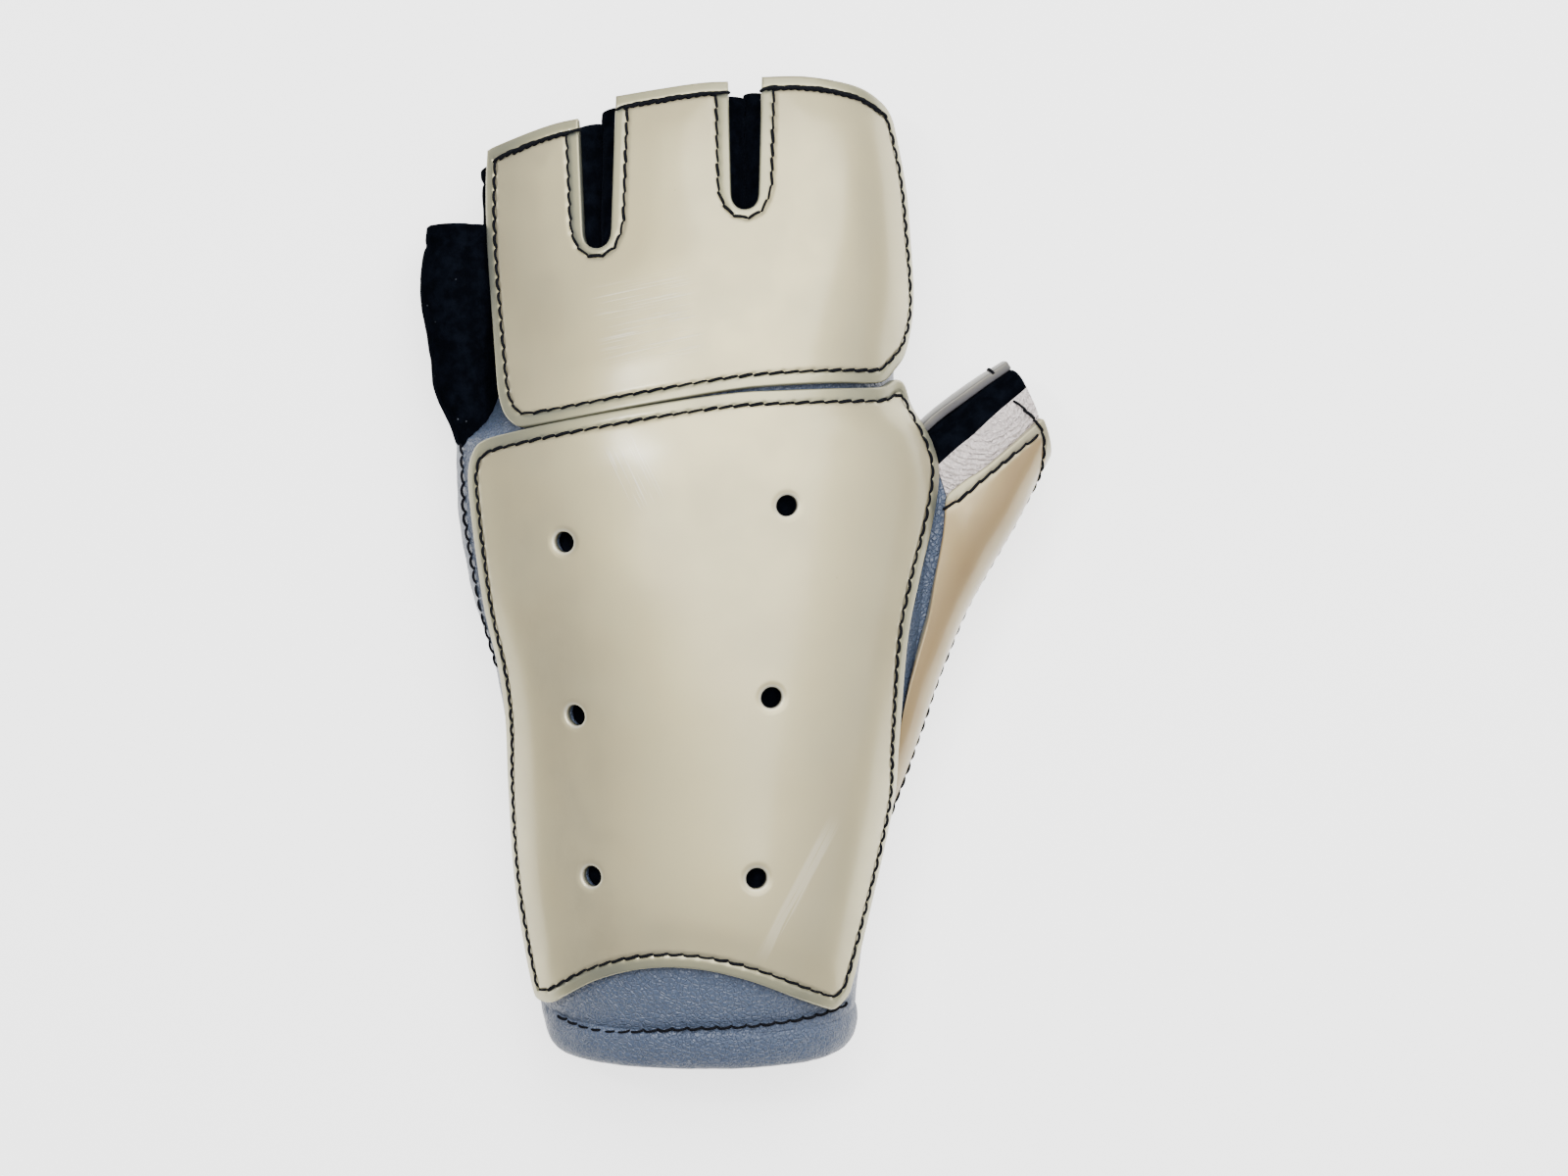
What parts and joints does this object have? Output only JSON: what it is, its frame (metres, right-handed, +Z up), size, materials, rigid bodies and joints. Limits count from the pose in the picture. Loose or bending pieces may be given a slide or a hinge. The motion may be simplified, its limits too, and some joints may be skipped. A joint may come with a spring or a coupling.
{
  "type": "shooting glove",
  "caption": "Open-finger target shooting glove for the left hand, stiff glossy sheets sewn over a leather and cloth body, lying palm down.",
  "frame": {"origin": "centre of the bounding box, on the flat surface that the palm rests on", "axes": "+X to the thumb side, +Y to the finger tips, +Z up through the back of the hand"},
  "size_m": [0.1497, 0.233, 0.047],
  "materials": {
    "cream_sheet": "soft gloss",
    "blue_leather": "satin",
    "white_leather": "satin",
    "black_cloth": "matte"
  },
  "bodies": {
    "root": {"finger_panel": "cream_sheet", "hand_panel": "cream_sheet", "thumb_panel": "cream_sheet", "thumb_inner_panel": "cream_sheet", "back_leather": "blue_leather", "side_leather": "blue_leather", "cuff_hem": "blue_leather", "thumb_gusset": "blue_leather", "palm_leather": "white_leather", "thumb_leather": "white_leather", "hand_liner": "black_cloth", "ring_sleeve": "black_cloth", "middle_sleeve": "black_cloth", "index_sleeve": "black_cloth", "little_sleeve": "black_cloth", "thumb_sleeve": "black_cloth"}
  },
  "joints": []
}
